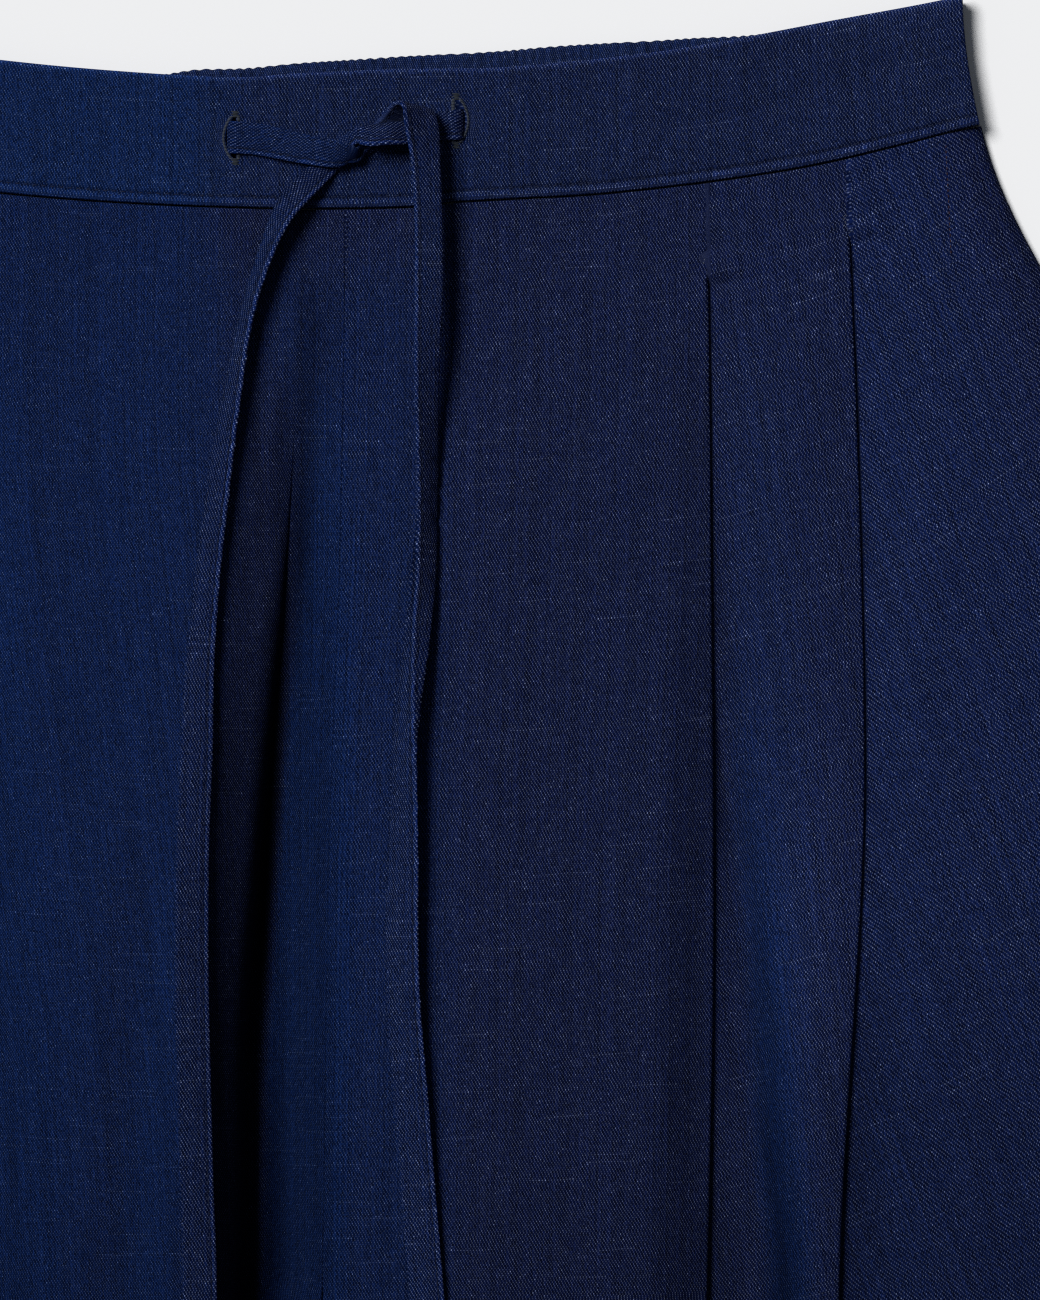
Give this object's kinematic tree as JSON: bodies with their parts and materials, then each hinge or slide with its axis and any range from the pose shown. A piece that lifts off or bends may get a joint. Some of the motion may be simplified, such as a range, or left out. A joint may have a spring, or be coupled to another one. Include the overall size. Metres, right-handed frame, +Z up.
{
  "type": "baggy drawstring trousers, laid flat",
  "caption": "Baggy pleated trousers laid flat, front up, with a plain front waistband, a gathered elastic back and a half-knotted drawstring.",
  "frame": {"origin": "on the table under the middle of the garment's outline, halfway between the top of the waistband and the hems", "axes": "+Y runs from the hems to the waist, +X is the viewer's right of the front, and +Z is up out of the front"},
  "size_m": [0.613, 1.0624, 0.0362],
  "materials": {
    "panel_cloth": "matte twill weave",
    "band_cloth": "matte twill weave",
    "tape_cloth": "matte twill weave, edge stitched"
  },
  "bodies": {
    "root": {"front_left": "panel_cloth", "front_right": "panel_cloth", "back_left": "panel_cloth", "back_right": "panel_cloth", "waistband_front": "band_cloth", "waistband_back": "band_cloth", "drawstring_left": "tape_cloth", "drawstring_right": "tape_cloth"}
  },
  "joints": []
}
